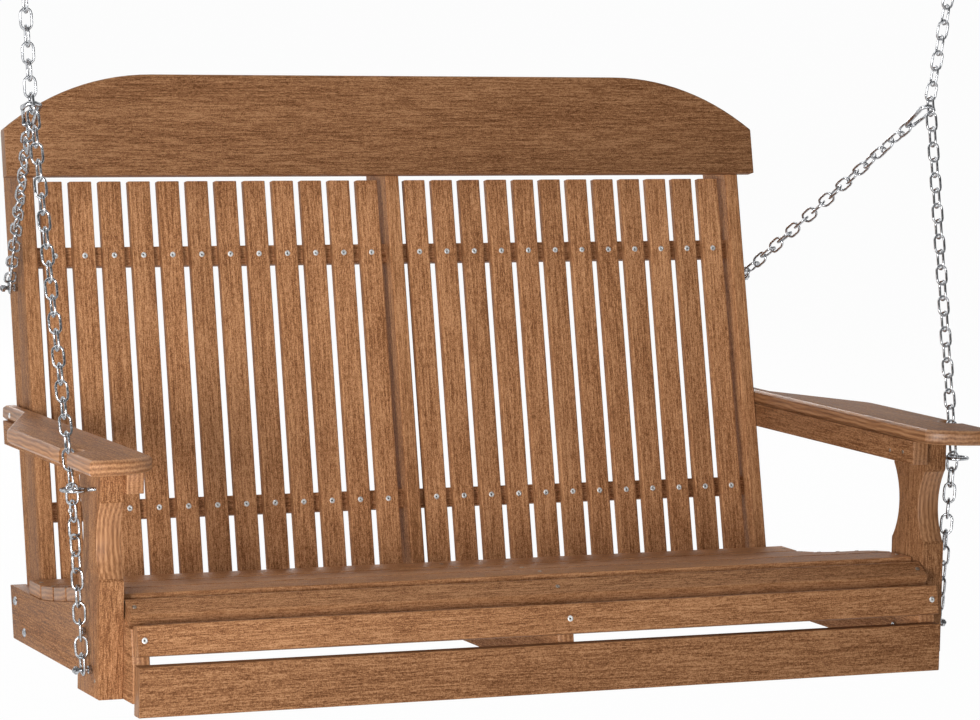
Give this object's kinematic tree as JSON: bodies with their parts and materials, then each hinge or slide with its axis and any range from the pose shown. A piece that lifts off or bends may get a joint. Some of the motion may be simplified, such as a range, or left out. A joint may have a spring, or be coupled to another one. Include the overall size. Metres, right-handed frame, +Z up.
{
  "type": "porch swing seat",
  "caption": "Two-person porch swing seat with a high slatted leaning back, broad arms on curved posts, and side chains that join in a Y below ceiling hooks.",
  "frame": {"origin": "midway between the two ceiling hooks, at the ceiling's face, where each hook's screw enters it", "axes": "+X across the swing to the right hand side as seen from the front, +Y to the back, +Z up"},
  "size_m": [1.8966, 1.0526, 1.4557],
  "materials": {
    "lumber": "recycled plastic lumber, warm brown, embossed wood grain, matte",
    "zinc": "bright zinc-plated steel, smooth"
  },
  "bodies": {
    "ceiling": {"left_ceiling_hook": "zinc", "right_ceiling_hook": "zinc"},
    "left_chain": {"left_upper_chain": "zinc"},
    "left_gate": {"left_carabiner_gate": "zinc"},
    "right_chain": {"right_upper_chain": "zinc"},
    "right_gate": {"right_carabiner_gate": "zinc"},
    "seat": {"apron": "lumber", "centre_frame_bolts": "zinc", "centre_seat_rail": "lumber", "centre_stile": "lumber", "crest_rail": "lumber", "front_slat": "lumber", "left_anchor_bolts": "zinc", "left_anchor_nuts": "zinc", "left_arm": "lumber", "left_arm_post": "lumber", "left_arm_rail": "lumber", "left_back_slats": "lumber", "left_carabiner": "zinc", "left_frame_bolts": "zinc", "left_guide_ring": "zinc", "left_lower_back_rail": "lumber", "left_main_chain": "zinc", "left_rear_chain": "zinc", "left_seat_rail": "lumber", "left_stile": "lumber", "left_upper_back_rail": "lumber", "nose_slat": "lumber", "right_anchor_bolts": "zinc", "right_anchor_nuts": "zinc", "right_arm": "lumber", "right_arm_post": "lumber", "right_arm_rail": "lumber", "right_back_slats": "lumber", "right_carabiner": "zinc", "right_frame_bolts": "zinc", "right_guide_ring": "zinc", "right_lower_back_rail": "lumber", "right_main_chain": "zinc", "right_rear_chain": "zinc", "right_seat_rail": "lumber", "right_stile": "lumber", "right_upper_back_rail": "lumber", "seat_slat_1": "lumber", "seat_slat_2": "lumber", "seat_slat_3": "lumber", "seat_slat_4": "lumber", "seat_slat_5": "lumber", "seat_slat_6": "lumber", "seat_slat_7": "lumber"}
  },
  "joints": [
    {"name": "left_chain_swing", "type": "hinge", "parent": "ceiling", "child": "left_chain", "pos_m": [-0.93261, 0, -0.062], "axis": [1, 0, 0], "range_deg": [-25, 25]},
    {"name": "right_chain_swing", "type": "hinge", "parent": "ceiling", "child": "right_chain", "pos_m": [0.93261, 0, -0.062], "axis": [1, 0, 0], "range_deg": [-25, 25]},
    {"name": "seat_swing", "type": "hinge", "parent": "left_chain", "child": "seat", "pos_m": [-0.90685, 0, -0.29905], "axis": [1, 0, 0], "range_deg": [-10, 10]},
    {"name": "left_gate_hinge", "type": "hinge", "parent": "seat", "child": "left_gate", "pos_m": [-0.90399, 0.04255, -0.3516], "axis": [0, 0.6592, 0.7519], "range_deg": [0, 20], "stiffness_Nm_per_rad": 0.06, "springref_deg": -5.73},
    {"name": "right_gate_hinge", "type": "hinge", "parent": "seat", "child": "right_gate", "pos_m": [0.90399, 0.04255, -0.3516], "axis": [0, 0.6592, 0.7519], "range_deg": [-20, 0], "stiffness_Nm_per_rad": 0.06, "springref_deg": 5.73}
  ],
  "couplings": [
    {"joint": "right_chain_swing", "follows": "left_chain_swing", "ratio": 1}
  ]
}
